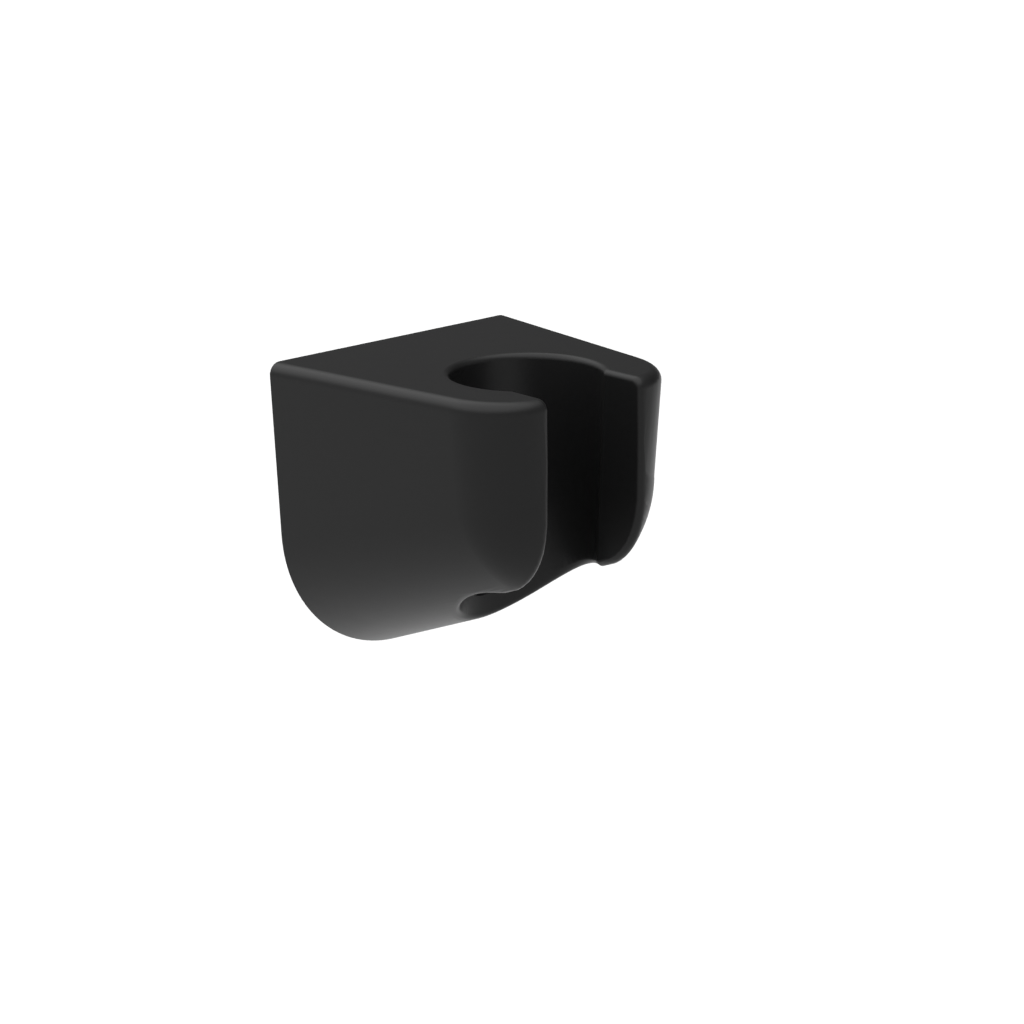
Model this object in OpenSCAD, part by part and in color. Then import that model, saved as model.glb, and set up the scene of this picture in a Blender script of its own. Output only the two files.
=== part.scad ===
// Wall holder for a hand shower: a moulded block with a flat top, drafted sides, a half-round
// lower end and an open cradle. The wall is the plane y = 0, the body stands out towards -y,
// and z = 0 lies midway between the two fixing screws.

/* [Body] */
// Width against the wall, before the top edge is rounded
back_w = 50; // [47:0.5:60]
// Height against the wall
back_h = 49.8; // [48:0.1:58]
// Radius of the half-round lower end against the wall
back_low_r = 23.35; // [21:0.05:24]
// Distance from the wall to the front face at the top
body_d = 46.9; // [45:0.1:55]
// Width at the front face, before its edge is rolled
front_w = 38.1; // [37.5:0.1:42]
// Height at the front face, before its edge is rolled
front_h = 31.45; // [29:0.05:36]
// Radius of the half-round lower end at the front face, before its edge is rolled
front_low_r = 17.3; // [15.5:0.1:18]
// Angle by which the front face comes forward below
front_lean = 0.4; // [0:0.1:2]

/* [Rounding] */
// How far the front roll reaches in from each side
side_roll_in = 8.1; // [5:0.1:8.6]
// How far behind the front face the side roll starts
side_roll_back = 10.5; // [6:0.1:12]
// How far the front roll reaches up from the lower end
low_roll_in = 5.85; // [4:0.05:7]
// How far behind the front face the lower roll starts
low_roll_back = 6.5; // [4:0.1:8]
// Radius of the edge round the top face
top_edge_r = 1.9; // [1.3:0.1:3]
// Radius of the edges round the cradle
cradle_edge_r = 0.95; // [0.4:0.05:1.2]

/* [Cradle] */
// Distance from the wall to the axis of the cradle
cradle_y = 31.65; // [31:0.05:34]
// Diameter of the cradle at the top face
cradle_top_dia = 23.75; // [22:0.05:24.5]
// Angle of the cradle's wall to its axis
cradle_taper = 1.9; // [0:0.1:3]
// Width of the slot that the hose passes through
slot_w = 18.55; // [14:0.05:19.4]

/* [Hollow back] */
// Thickness of the outer wall
wall = 3; // [2:0.1:4]
// Thickness of the wall behind the cradle
cradle_wall = 3; // [2.5:0.1:4]
// Depth of the hollow from the wall side
core_d = 26; // [18:0.5:28]
// Thickness of the web that joins the screw bosses
web_t = 2.4; // [1.6:0.1:4]

/* [Fixing] */
// Depth of the upper screw below the top face
upper_screw_drop = 14; // [13:0.5:18]
// Distance between the two screws
screw_spacing = 20; // [16:0.5:20]
// Diameter of the screw holes
screw_hole_dia = 4.5; // [3.5:0.1:5]
// Diameter of the countersunk heads
screw_head_dia = 8; // [7.5:0.1:9]
// Outer diameter of the screw bosses
boss_dia = 9; // [8:0.1:11]

/* [Hidden] */
$fn = 96;

// Countersink of 90 degrees, so its depth is the difference of the radii
sink_d = (screw_head_dia - screw_hole_dia) / 2;
// The top face stands this far above the middle of the two screws
top_z = upper_screw_drop + screw_spacing / 2;
// Length by which a cutting shape runs past the surface that it opens
past = 1;
// Flat facets to the quarter circle of the lower end, the top edge and the front roll
low_steps = 32;
edge_steps = 6;
roll_steps = 10;
// Rings along the straight part of the skin
wall_steps = 4;
// The hollow's lower end takes every second facet
core_skip = 2;
// Facets to half of the cradle's edge at the rim and at the lower opening
round_steps = 28;
// The shape that cuts the cradle's edge runs past its tangent lines by this many facets
run_out = 1.5;
// Its corner stands clear of the body by this share of the edge radius
corner_out = 0.5;
// Along the front the edge's stations lie midway between the skin's facet lines
midway = 0.5;
// Repeats that settle the ball's place under the body, and halvings that find it on the front
settle_steps = 4;
halvings = 24;

function mix(a, b, f) = a + (b - a) * f;

// The body's sizes at the distance t from the wall
function half_w(t) = mix(back_w, front_w, t / body_d) / 2;
function low_r(t) = mix(back_low_r, front_low_r, t / body_d);
function low_drop(t) = mix(back_h - back_low_r, front_h - front_low_r, t / body_d);

// Angle by which the side leans in below, so that it runs into the half-round lower end
function lean(t) = acos(low_r(t) / norm([half_w(t), low_drop(t)]))
    - atan2(low_drop(t), half_w(t));

// Angle below the horizontal at the step s of the lower end, where s is 0 at the side
function low_angle(s, t) = mix(lean(t), 90, s / low_steps);

// A point of the right half's lower end at the distance t from the wall
function outline(s, t) =
    [low_r(t) * cos(low_angle(s, t)), -low_drop(t) - low_r(t) * sin(low_angle(s, t))];
function outline_normal(s, t) =
    let (a = low_angle(max(s, 0), t)) [cos(a), -sin(a)];

// The two reaches of the front roll change over from the side to the lower end
function roll_share(s) =
    let (first = sin(lean(body_d)))
    (sin(low_angle(max(s, 0), body_d)) - first) / (1 - first);
function roll_in(s) = mix(side_roll_in, low_roll_in, roll_share(s));
function roll_back(s) = mix(side_roll_back, low_roll_back, roll_share(s));

// How much the wall comes in for each millimetre towards the front
function draft(s, t) =
    let (s = max(s, 0)) (outline(s, t - 1) - outline(s, t)) * outline_normal(s, t);

// Angle on the front roll at the ring j: 0 where it leaves the wall, 90 on the front face
function roll_angle(j) = 90 * max(j - wall_steps, 0) / roll_steps;

// Distance from the wall of the ring j at the step s, before the front leans
function ring_t(s, j) =
    (body_d - roll_back(s)) * min(j / wall_steps, 1) + roll_back(s) * sin(roll_angle(j));
// The front's lean, which fades out towards the wall
function leaning(p, j) = [p.x, p.y, p.z - p.y * tan(front_lean) * min(j / wall_steps, 1)];

// A point on the ring j, as [across, height, distance from the wall]. The step s runs from -1 at
// the sharp top corner down the straight side to 0, and on round the lower end.
function skin_point(s, j) =
    let (
        t = ring_t(s, j),
        in = roll_in(s) * (1 - cos(roll_angle(j))) * norm([1, draft(s, t)]),
        p = outline(max(s, 0), t) - outline_normal(s, t) * in,
        corner = [half_w(t) - in / cos(lean(t)), 0],
        q = s < 0 ? mix(corner, p, 1 + s) : p
    )
    leaning([q.x, q.y, t], j);

// Direction of the wall in plan on the ring j, and how far it leans there
function plan_angle(j) =
    let (m = draft(-1, body_d), in = cos(roll_angle(j)) / side_roll_in / norm([1, m]))
    atan2(sin(roll_angle(j)) / side_roll_back + in * m, in);
function plan_lean(j) =
    atan(tan(lean(body_d)) * cos(plan_angle(j)));

// A point of the rounded top edge at the step k, from the top face down to the side. Along the
// straight part its ring lies at one distance from the wall, so that the first one is flush.
function edge_point(k, j) =
    let (
        q = skin_point(-1, j),
        l = plan_lean(j),
        a = mix(90, -l, k / edge_steps),
        in = top_edge_r * (1 / cos(l) + tan(l) - cos(a)),
        p = plan_angle(j),
        t = q.z + in * sin(p),
        e = j < wall_steps ? [half_w(t), 0, t] : q
    )
    leaning([e.x - in * cos(p), -top_edge_r * (1 - sin(a)), e.z - in * sin(p)], j);

// All columns of the right half, from the top face's edge to the middle of the lower end
half_columns = edge_steps + 1 + low_steps + 1;
last = half_columns - 1;
rings = wall_steps + roll_steps;
function half_point(i, j) =
    i <= edge_steps ? edge_point(i, j) : skin_point(i - edge_steps - 1, j);
function whole_point(i, j) =
    i <= last ? half_point(i, j)
    : let (p = half_point(2 * last - i, j)) [-p.x, p.y, p.z];

// The body's outer skin as one closed surface
module skin() {
    n = 2 * last + 1;
    points = [
        for (j = [0 : rings], i = [0 : n - 1])
            let (p = whole_point(i, j)) [p.x, -p.z, top_z + p.y]
    ];
    walls = [
        for (j = [0 : rings - 1], i = [0 : n - 2]) each [
            [j * n + i, j * n + i + 1, (j + 1) * n + i + 1],
            [j * n + i, (j + 1) * n + i + 1, (j + 1) * n + i]
        ]
    ];
    front_edge = [
        for (k = [0 : edge_steps - 1])
            let (a = rings * n + k, b = rings * n + n - 1 - k) [a, a + 1, b - 1, b]
    ];
    front = [[for (i = [edge_steps : n - 1 - edge_steps]) rings * n + i]];
    back = [[for (i = [n - 1 : -1 : 0]) i]];
    top = [[
        for (j = [0 : rings]) j * n,
        for (j = [rings : -1 : 0]) j * n + n - 1
    ]];
    polyhedron(points, concat(walls, front_edge, front, back, top), convexity = 4);
}

// The hollow's outer form: the body's outline, one wall thickness inside
module core() {
    ends = [-past, core_d];
    inner = [
        for (t = ends)
            let (
                l = lean(t),
                x = half_w(t) - wall * (1 / cos(l) + tan(l)),
                arc = [
                    for (s = [0 : core_skip : low_steps])
                        outline(s, t) - wall * outline_normal(s, t)
                ],
                half = concat([[x, -wall]], arc)
            )
            concat(half, [for (i = [len(half) - 2 : -1 : 0]) [-half[i].x, half[i].y]])
    ];
    n = len(inner[0]);
    points = [
        for (e = [0, 1], p = inner[e]) [p.x, -ends[e], top_z + p.y]
    ];
    walls = [
        for (i = [0 : n - 1]) each [
            [i, (i + 1) % n, n + (i + 1) % n],
            [i, n + (i + 1) % n, n + i]
        ]
    ];
    back = [[for (i = [n - 1 : -1 : 0]) i]];
    front = [[for (i = [0 : n - 1]) n + i]];
    polyhedron(points, concat(walls, back, front), convexity = 4);
}

cradle_top_r = cradle_top_dia / 2;
// Radius of the cradle at the height z, counted from the top face
function cradle_r(z) = cradle_top_r + z * tan(cradle_taper);

// A cone round the cradle's axis, wider than the cradle by a given amount
module cradle_cone(extra, low = -back_h - past, high = past) {
    translate([0, -cradle_y, top_z + low])
        cylinder(h = high - low, r1 = cradle_r(low) + extra, r2 = cradle_r(high) + extra);
}

module slot() {
    translate([-slot_w / 2, -body_d - past, top_z - back_h - past])
        cube([slot_w, body_d + past - cradle_y, back_h + 2 * past]);
}

// The cradle's edge is one closed line: round the rim, out along the slot, down the front, back
// under the body and round the lower opening. A ball of the edge radius rolls along it, and what
// lies outside the ball is cut off. Each station is [ball centre, direction to the cradle's wall,
// direction to the outer skin].
slot_ball_x = slot_w / 2 + cradle_edge_r;
slot_side = [-1, 0, 0];

// Direction from the ball to the cradle's round wall, at the angle a from the wall side
function round_side(a) =
    [-sin(a) * cos(cradle_taper), -cos(a) * cos(cradle_taper), sin(cradle_taper)];
function round_ball_r(z) = cradle_r(z) + cradle_edge_r / cos(cradle_taper);
// Angle at which the slot's ball line meets the round one, and where along y
function meet_angle(z) = 180 - asin(slot_ball_x / round_ball_r(z));
function meet_y(z) = -cradle_y + round_ball_r(z) * cos(meet_angle(z));
function both_sides(z) =
    let (r = round_side(meet_angle(z))) (slot_side + r) / (1 + slot_side * r);

// How much the lower end comes in towards the front, where up is the sine below the horizontal
function low_slope(up) =
    (back_low_r - front_low_r + (low_drop(0) - low_drop(body_d)) * up) / body_d;
// Station of a ball that touches the lower end from inside, above the plan point [x, y]
function low_station(x, y, side, slope = low_slope(1), n = settle_steps) =
    let (
        r = low_r(-y) - cradle_edge_r * norm([1, slope]),
        h = sqrt(r * r - x * x)
    )
    n > 0 ? low_station(x, y, side, low_slope(h / r), n - 1)
    : [[x, y, -low_drop(-y) - h], side, [x / r, -slope, -h / r] / norm([1, slope])];

// Outward direction of the skin at the step s on a ring j of the front roll
function roll_normal(s, j) =
    let (
        t = skin_point(s, j).z,
        m = draft(s, t),
        in = cos(roll_angle(j)) / roll_in(s) / norm([1, m]),
        v = outline_normal(s, t) * in,
        out = sin(roll_angle(j)) / roll_back(s) + in * m,
        w = [v.x, -out, v.y + out * tan(front_lean)]
    ) w / norm(w);
function roll_ball(s, j) =
    let (p = skin_point(s, j)) [p.x, -p.z, p.y] - cradle_edge_r * roll_normal(s, j);
// The step at which the ball on the ring j touches the slot's wall, found by halving
function roll_step(j, low = -1, high = low_steps, n = halvings) =
    let (s = (low + high) / 2)
    n == 0 ? s
    : roll_ball(s, j).x > slot_ball_x ? roll_step(j, s, high, n - 1)
    : roll_step(j, low, s, n - 1);

// Stations of the right half, from the back of the rim to the back of the lower opening
function half_stations() =
    let (
        top = -cradle_edge_r,
        up = [0, 0, 1],
        rim = [
            for (k = [0 : round_steps - 1])
                let (a = meet_angle(top) * k / round_steps, r = round_ball_r(top))
                [[r * sin(a), r * cos(a) - cradle_y, top], round_side(a), up]
        ],
        rim_end = [[[slot_ball_x, meet_y(top), top], both_sides(top), up]],
        nose_r = top_edge_r - cradle_edge_r,
        nose = [
            for (k = [0 : edge_steps - 1])
                let (
                    a = (90 - front_lean) * (k + midway) / edge_steps,
                    z = nose_r * cos(a) - top_edge_r,
                    y = top_edge_r - body_d - nose_r * sin(a)
                )
                [[slot_ball_x, y - top_edge_r * tan(front_lean), z], slot_side, [0, -sin(a), cos(a)]]
        ],
        roll = [
            for (k = [rings - 1 : -1 : wall_steps])
                let (j = k + midway, s = roll_step(j))
                [roll_ball(s, j), slot_side, roll_normal(s, j)]
        ],
        low_z = low_station(slot_ball_x, -cradle_y - slot_ball_x, slot_side)[0].z,
        low_end = [low_station(slot_ball_x, meet_y(low_z), both_sides(low_z))],
        low = [
            for (k = [round_steps - 1 : -1 : 0])
                let (a = meet_angle(low_z) * k / round_steps, r = low_round_r(a))
                low_station(r * sin(a), r * cos(a) - cradle_y, round_side(a))
        ]
    )
    concat(rim, rim_end, nose, roll, low_end, low);
// Distance of the lower ball from the cradle's axis, where the cradle has narrowed on its way down
function low_round_r(a, r = cradle_top_r, n = settle_steps) =
    let (ball = low_station(r * sin(a), r * cos(a) - cradle_y, slot_side)[0])
    n == 0 ? r : low_round_r(a, round_ball_r(ball.z), n - 1);

// Section of the cutting shape at one station: the ball's arc, closed outside the body
function rounding_section(st) =
    let (
        c = st[0], w = st[1], q = st[2],
        turn = acos(w * q / norm(w)),
        arc = [
            for (k = [0 : edge_steps])
                let (a = turn * k / edge_steps)
                c + cradle_edge_r * (w * sin(turn - a) + q * sin(a)) / sin(turn)
        ],
        out = cradle_edge_r * (1 / (1 + cos(turn)) + corner_out)
    )
    concat(
        [arc[0] + (arc[0] - arc[1]) * run_out],
        [for (k = [1 : edge_steps - 1]) arc[k]],
        [arc[edge_steps] + (arc[edge_steps] - arc[edge_steps - 1]) * run_out],
        [c + (w + q) * out]
    );

module cradle_rounding() {
    right = [for (st = half_stations()) rounding_section(st)];
    m = len(right);
    n = len(right[0]);
    sections = concat(
        right,
        [for (i = [m - 2 : -1 : 1]) [for (p = right[i]) [-p.x, p.y, p.z]]]
    );
    count = len(sections);
    points = [for (sec = sections, p = sec) [p.x, p.y, top_z + p.z]];
    faces = [
        for (i = [0 : count - 1], k = [0 : n - 1])
            let (a = i * n, b = (i + 1) % count * n, k2 = (k + 1) % n) each [
                [a + k, b + k2, a + k2],
                [a + k, b + k, b + k2]
            ]
    ];
    polyhedron(points, faces, convexity = 8);
}

// The skin with the cradle's edge rolled into it. Resizing it to its own size joins the two as
// one surface before the round cuts.
module edged_skin() {
    resize([0, 0, 0])
        difference() {
            skin();
            cradle_rounding();
        }
}

screw_zs = [screw_spacing / 2, -screw_spacing / 2];
// The cradle's back wall at the height z, as a distance from the wall plane
function cradle_back(z) = cradle_y - cradle_r(z - top_z);

module screw_hole(z) {
    sink = cradle_back(z) - sink_d;
    translate([0, past, z])
        rotate([90, 0, 0])
            cylinder(h = cradle_back(z) + 2 * past, d = screw_hole_dia);
    translate([0, -sink, z])
        rotate([90, 0, 0])
            cylinder(h = sink_d, d1 = screw_hole_dia, d2 = screw_head_dia);
    translate([0, -sink - sink_d, z])
        rotate([90, 0, 0])
            cylinder(h = 2 * past, d = screw_head_dia);
}

// The hollow behind the cradle, less the bosses and the web that stand in it
module hollow() {
    difference() {
        core();
        cradle_cone(cradle_wall);
        for (z = screw_zs)
            translate([0, 2 * past, z])
                rotate([90, 0, 0])
                    cylinder(h = cradle_y, d = boss_dia);
        translate([-web_t / 2, -cradle_y, top_z - back_h])
            cube([web_t, cradle_y + 2 * past, back_h]);
    }
}

module holder() {
    color("#232323")
        difference() {
            edged_skin();
            cradle_cone(0);
            slot();
            hollow();
            for (z = screw_zs)
                screw_hole(z);
        }
}

holder();
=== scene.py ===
import bpy, bmesh, math
from mathutils import Matrix, Vector


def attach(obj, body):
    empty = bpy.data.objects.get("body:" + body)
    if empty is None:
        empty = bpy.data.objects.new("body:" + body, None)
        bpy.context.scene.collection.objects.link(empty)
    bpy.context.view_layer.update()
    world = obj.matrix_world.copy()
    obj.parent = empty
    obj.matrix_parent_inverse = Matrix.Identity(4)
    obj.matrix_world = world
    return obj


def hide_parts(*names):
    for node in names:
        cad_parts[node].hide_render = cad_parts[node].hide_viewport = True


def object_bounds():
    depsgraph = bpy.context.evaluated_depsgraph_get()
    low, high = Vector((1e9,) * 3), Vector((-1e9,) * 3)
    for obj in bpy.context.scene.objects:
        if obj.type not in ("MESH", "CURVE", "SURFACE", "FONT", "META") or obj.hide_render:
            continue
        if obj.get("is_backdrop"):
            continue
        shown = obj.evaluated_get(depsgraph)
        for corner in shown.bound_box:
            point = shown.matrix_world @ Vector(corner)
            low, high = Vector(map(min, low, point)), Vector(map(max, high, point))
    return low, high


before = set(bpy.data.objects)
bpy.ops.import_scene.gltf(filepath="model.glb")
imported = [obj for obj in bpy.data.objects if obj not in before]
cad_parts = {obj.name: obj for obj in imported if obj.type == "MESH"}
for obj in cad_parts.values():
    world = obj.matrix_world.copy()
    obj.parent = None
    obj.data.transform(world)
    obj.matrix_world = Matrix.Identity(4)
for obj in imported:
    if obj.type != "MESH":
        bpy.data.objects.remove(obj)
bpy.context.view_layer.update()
print("frame loaded")

# Holder

holderSizes = {
    "sharpAngle": 28,        # degrees between faces where an edge stays crisp
    "mergeDistance": 2e-6,
    "shadeWeight": 100,      # the large flat faces decide the shading beside them
}


def smoothCopy(node, name, sizes):
    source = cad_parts[node]
    mesh = bmesh.new()
    mesh.from_mesh(source.data)
    bmesh.ops.remove_doubles(mesh, verts=mesh.verts, dist=sizes["mergeDistance"])
    bmesh.ops.dissolve_degenerate(mesh, edges=mesh.edges, dist=sizes["mergeDistance"])
    limit = math.radians(sizes["sharpAngle"])
    for face in mesh.faces:
        face.smooth = True
    for edge in mesh.edges:
        edge.smooth = len(edge.link_faces) == 2 and edge.calc_face_angle(0) < limit
    data = bpy.data.meshes.new(name)
    mesh.to_mesh(data)
    mesh.free()
    piece = bpy.data.objects.new(name, data)
    bpy.context.scene.collection.objects.link(piece)
    evener = piece.modifiers.new("evenShading", "WEIGHTED_NORMAL")
    evener.keep_sharp = True
    evener.weight = sizes["shadeWeight"]
    return piece


mattBlackLooks = {
    "colour": (0.0038, 0.0038, 0.0039, 1),
    "gloss": 0.20,
    "roughLow": 0.370,       # the moulded surface is a little uneven in its sheen
    "roughHigh": 0.400,
    "sheenSize": 260,        # sheen patches to the metre
    "grainSize": 9000,       # fine grain of the moulded surface, cells to the metre
    "grainDetail": 2,
    "grainDepth": 0.000004,
    "grainStrength": 0.3,
}


def mattBlackPlastic(looks):
    material = bpy.data.materials.new("mattBlackPlastic")
    material.use_nodes = True
    nodes, links = material.node_tree.nodes, material.node_tree.links
    shader = nodes["Principled BSDF"]
    shader.inputs["Base Color"].default_value = looks["colour"]
    shader.inputs["Specular IOR Level"].default_value = looks["gloss"]
    place = nodes.new("ShaderNodeTexCoord")

    patches = nodes.new("ShaderNodeTexNoise")
    patches.inputs["Scale"].default_value = looks["sheenSize"]
    sheen = nodes.new("ShaderNodeMapRange")
    sheen.inputs["To Min"].default_value = looks["roughLow"]
    sheen.inputs["To Max"].default_value = looks["roughHigh"]
    links.new(place.outputs["Object"], patches.inputs["Vector"])
    links.new(patches.outputs["Fac"], sheen.inputs["Value"])
    links.new(sheen.outputs["Result"], shader.inputs["Roughness"])

    grain = nodes.new("ShaderNodeTexNoise")
    grain.inputs["Scale"].default_value = looks["grainSize"]
    grain.inputs["Detail"].default_value = looks["grainDetail"]
    bump = nodes.new("ShaderNodeBump")
    bump.inputs["Distance"].default_value = looks["grainDepth"]
    bump.inputs["Strength"].default_value = looks["grainStrength"]
    links.new(place.outputs["Object"], grain.inputs["Vector"])
    links.new(grain.outputs["Fac"], bump.inputs["Height"])
    links.new(bump.outputs["Normal"], shader.inputs["Normal"])
    return material


holder = smoothCopy("holder", "holderBody", holderSizes)
holder.data.materials.append(mattBlackPlastic(mattBlackLooks))
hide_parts("holder")
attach(holder, "root")
print("holder made")

# Studio

studio = {
    "floorDrop": 0.30,       # the holder hangs clear above the floor
    "floorSize": 40,
    "floorColour": (0.54, 0.54, 0.54, 1),
    "floorRoughness": 0.9,
    "lightColour": (1, 1, 1, 1),
    "glowTowards": (-0.24, 0.12, 0.92),     # middle of the bright part of the sky
    "glowEnd": 0.36,         # cosine of the angle from that middle where the glow ends
    "glowFull": 0.82,
    "skyLight": 0.72,        # away from the glow
    "glowLight": 3.05,
    "shadeTowards": (0.92, 0.38, 0.06),     # middle of the dark part, behind on the right
    "shadeEnd": 0.32,
    "shadeFull": 0.86,
    "shadeShare": 0.19,      # of the light that is left in the dark part
}


def makeFloor(values):
    low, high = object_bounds()
    bpy.ops.mesh.primitive_plane_add(
        size=values["floorSize"], location=(0, 0, low.z - values["floorDrop"]),
    )
    floor = bpy.context.active_object
    floor.name = "floor"
    material = bpy.data.materials.new("paleFloor")
    material.use_nodes = True
    shader = material.node_tree.nodes["Principled BSDF"]
    shader.inputs["Base Color"].default_value = values["floorColour"]
    shader.inputs["Roughness"].default_value = values["floorRoughness"]
    floor.data.materials.append(material)
    floor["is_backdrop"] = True


# A level that changes softly from low to high towards one direction of the sky.
def makeLevel(world, towards, start, stop, low, high):
    nodes, links = world.node_tree.nodes, world.node_tree.links
    place = nodes.new("ShaderNodeTexCoord")
    facing = nodes.new("ShaderNodeVectorMath")
    facing.operation = "DOT_PRODUCT"
    facing.inputs[1].default_value = Vector(towards).normalized()
    level = nodes.new("ShaderNodeMapRange")
    level.interpolation_type = "SMOOTHSTEP"
    level.inputs["From Min"].default_value = start
    level.inputs["From Max"].default_value = stop
    level.inputs["To Min"].default_value = low
    level.inputs["To Max"].default_value = high
    links.new(place.outputs["Generated"], facing.inputs[0])
    links.new(facing.outputs["Value"], level.inputs["Value"])
    return level.outputs["Result"]


def makeWorld(values):
    world = bpy.data.worlds.new("studioWorld")
    bpy.context.scene.world = world
    world.use_nodes = True
    nodes, links = world.node_tree.nodes, world.node_tree.links
    light = nodes["Background"]
    light.inputs["Color"].default_value = values["lightColour"]
    glow = makeLevel(
        world, values["glowTowards"], values["glowEnd"], values["glowFull"],
        values["skyLight"], values["glowLight"],
    )
    shade = makeLevel(
        world, values["shadeTowards"], values["shadeEnd"], values["shadeFull"],
        1, values["shadeShare"],
    )
    both = nodes.new("ShaderNodeMath")
    both.operation = "MULTIPLY"
    links.new(glow, both.inputs[0])
    links.new(shade, both.inputs[1])
    links.new(both.outputs["Value"], light.inputs["Strength"])


makeFloor(studio)
makeWorld(studio)
bpy.context.scene.view_settings.view_transform = "Standard"      # keeps the white background white
bpy.context.scene.view_settings.look = "None"
print("studio made")

# Camera

cameraPlace = {
    "azimuth": 41.987,       # degrees to the left of the front
    "elevation": 15.855,
    "roll": -0.516,
    "distance": 0.57643,
    "lens": 132.36,
    "sensor": 36,
    "clip": (0.01, 100),
    "aim": (0, -0.02717, 0.024),        # point of the top face's middle line
    "aimPixel": (506.48, 366.10),       # where the photograph shows that point
    "imageSize": 1024,
}


def makeCamera(values):
    azimuth, elevation = math.radians(values["azimuth"]), math.radians(values["elevation"])
    roll = math.radians(values["roll"])
    forward = Vector((
        math.sin(azimuth) * math.cos(elevation),
        math.cos(azimuth) * math.cos(elevation),
        -math.sin(elevation),
    ))
    level = Vector((math.cos(azimuth), -math.sin(azimuth), 0))
    upright = level.cross(forward)
    right = level * math.cos(roll) + upright * math.sin(roll)
    up = upright * math.cos(roll) - level * math.sin(roll)
    camera = bpy.data.cameras.new("photoCamera")
    camera.lens = values["lens"]
    camera.sensor_width = values["sensor"]
    camera.clip_start, camera.clip_end = values["clip"]
    holderCamera = bpy.data.objects.new("photoCamera", camera)
    bpy.context.scene.collection.objects.link(holderCamera)
    middle = (values["imageSize"] - 1) / 2
    step = values["distance"] * values["sensor"] / values["lens"] / values["imageSize"]
    across = (values["aimPixel"][0] - middle) * step
    down = (values["aimPixel"][1] - middle) * step
    spot = Vector(values["aim"]) - forward * values["distance"] - right * across + up * down
    turn = Matrix((right, up, -forward)).transposed()
    holderCamera.matrix_world = Matrix.Translation(spot) @ turn.to_4x4()
    bpy.context.scene.camera = holderCamera


makeCamera(cameraPlace)
print("camera made")
